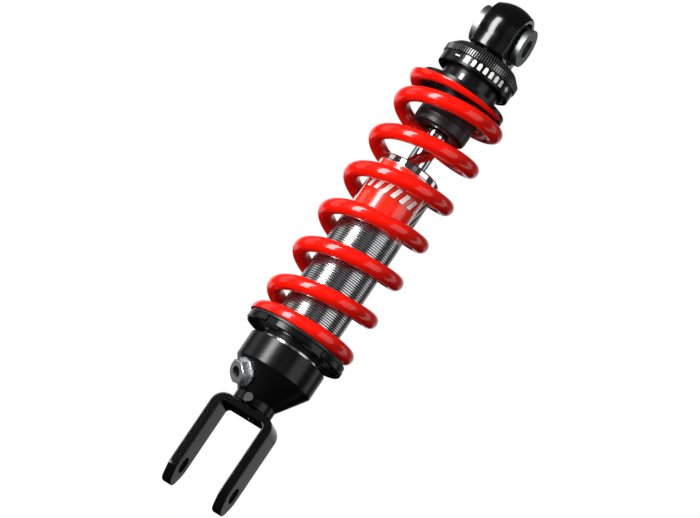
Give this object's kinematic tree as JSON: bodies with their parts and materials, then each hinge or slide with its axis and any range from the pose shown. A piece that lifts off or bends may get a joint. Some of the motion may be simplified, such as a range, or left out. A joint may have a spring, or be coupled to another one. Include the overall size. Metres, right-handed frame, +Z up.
{
  "type": "rear shock absorber",
  "caption": "Coil-over rear shock absorber with a threaded damper tube, red coil spring, rebound adjuster ring, top bearing eye and bottom fork.",
  "frame": {"origin": "on the lower fork's bolt axis, midway between its two legs", "axes": "+Z up the damper to the eye, +X along both bolt axes, +Y to the back, away from the gas valve"},
  "size_m": [0.0698, 0.0692, 0.3707],
  "materials": {
    "black_anodised_aluminium": "black anodised, satin gloss",
    "satin_black_aluminium": "satin black",
    "black_painted_steel": "black coated steel, semi-gloss",
    "plated_steel": "zinc plated, bright",
    "hard_chrome": "hard chromed and polished",
    "turned_aluminium": "clear anodised, turned",
    "bearing_steel": "ground and polished",
    "red_coated_spring_steel": "gloss powder coat",
    "black_rubber": "matte",
    "bump_stop_urethane": "matte, finely cellular",
    "sintered_bronze": "sintered bronze, matte",
    "ptfe_band": "filled PTFE",
    "acetal_washer": "moulded black"
  },
  "bodies": {
    "lower": {"lower_foot": "black_anodised_aluminium", "foot_o_ring": "black_rubber", "fork_stud": "black_painted_steel", "set_screw": "plated_steel", "valve_washer": "plated_steel", "valve_plug": "plated_steel", "valve_core": "satin_black_aluminium", "damper_tube": "turned_aluminium", "seal_head": "hard_chrome", "head_o_ring": "black_rubber", "rod_guide_bush": "sintered_bronze", "rod_seal": "black_rubber", "rod_wiper": "black_rubber", "fork": "black_painted_steel", "main_spring": "red_coated_spring_steel"},
    "gas_piston": {"floating_piston": "turned_aluminium", "floating_piston_ring": "black_rubber"},
    "preload_carriage": {"thrust_washer": "acetal_washer"},
    "preload": {"preload_ring": "black_anodised_aluminium"},
    "rod": {"piston_rod": "hard_chrome", "top_out_rubber": "black_rubber", "top_out_plate": "plated_steel", "compression_shims": "plated_steel", "piston": "turned_aluminium", "piston_band": "ptfe_band", "rebound_shims": "plated_steel", "piston_nut": "plated_steel", "upper_spring_seat": "black_anodised_aluminium", "bump_stop": "bump_stop_urethane", "adjuster_body": "black_anodised_aluminium", "detent_ball": "bearing_steel", "detent_spring": "plated_steel", "upper_eye": "black_anodised_aluminium", "bearing_race": "bearing_steel", "circlip_left": "plated_steel", "circlip_right": "plated_steel", "dust_seal_left": "black_rubber", "dust_seal_right": "black_rubber"},
    "needle": {"rebound_needle": "plated_steel", "cam_pin": "bearing_steel"},
    "rebound": {"rebound_ring": "black_anodised_aluminium"},
    "ball": {"bearing_ball": "bearing_steel"},
    "spacers": {"spacer_left": "turned_aluminium", "spacer_right": "turned_aluminium"}
  },
  "joints": [
    {"name": "rod_slide", "type": "slide", "parent": "lower", "child": "rod", "axis": [0, 0, 1], "range_m": [-0.042, 0], "stiffness_N_per_m": 25000, "springref_m": 0.01, "deforming": ["main_spring", "bump_stop"]},
    {"name": "gas_piston_slide", "type": "slide", "parent": "lower", "child": "gas_piston", "axis": [0, 0, 1], "range_m": [-0.0064, 0]},
    {"name": "preload_lift", "type": "slide", "parent": "lower", "child": "preload_carriage", "axis": [0, 0, 1], "range_m": [0, 0.012], "deforming": ["main_spring"]},
    {"name": "preload_turn", "type": "hinge", "parent": "preload_carriage", "child": "preload", "pos_m": [0, 0, 0.0994], "axis": [0, 0, 1], "range_deg": [0, 2880]},
    {"name": "rebound_turn", "type": "hinge", "parent": "rod", "child": "rebound", "pos_m": [0, 0, 0.3082], "axis": [0, 0, 1], "range_deg": [-60, 0]},
    {"name": "needle_slide", "type": "slide", "parent": "rod", "child": "needle", "axis": [0, 0, 1], "range_m": [-0.0015, 0]},
    {"name": "bearing_tilt", "type": "hinge", "parent": "rod", "child": "ball", "pos_m": [0, 0, 0.3356], "axis": [0, 1, 0], "range_deg": [-8, 8], "deforming": ["dust_seal_left", "dust_seal_right"]},
    {"name": "spacer_turn", "type": "hinge", "parent": "ball", "child": "spacers", "pos_m": [0, 0, 0.3356], "axis": [1, 0, 0], "continuous": true}
  ],
  "couplings": [
    {"joint": "gas_piston_slide", "follows": "rod_slide", "ratio": 0.15124},
    {"joint": "preload_lift", "follows": "preload_turn", "m_per_rad": 0.0002387},
    {"joint": "needle_slide", "follows": "rebound_turn", "m_per_rad": 0.001432}
  ]
}
